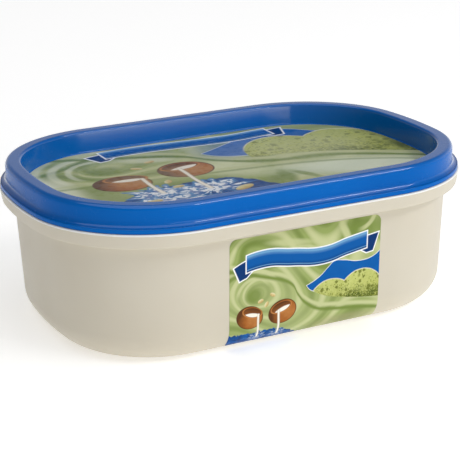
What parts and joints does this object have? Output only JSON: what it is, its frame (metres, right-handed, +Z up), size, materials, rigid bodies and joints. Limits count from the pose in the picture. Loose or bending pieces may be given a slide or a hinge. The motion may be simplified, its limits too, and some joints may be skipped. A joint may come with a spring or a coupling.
{
  "type": "ice cream tub",
  "caption": "Oblong lidded ice cream tub with rounded ends, a cream drafted cup with a rim band, a blue raised-rim lid and green printed labels.",
  "frame": {"origin": "centre of the foot, on the surface that the tub stands on", "axes": "+X along the long side, +Z up out of the lid, the front label faces -Y"},
  "size_m": [0.191, 0.1304, 0.0663],
  "materials": {
    "tub_plastic": "satin",
    "lid_plastic": "gloss",
    "label_print": "gloss"
  },
  "bodies": {
    "root": {"tub": "tub_plastic", "lid": "lid_plastic", "label_lid": "label_print", "label_front": "label_print", "label_back": "label_print"}
  },
  "joints": []
}
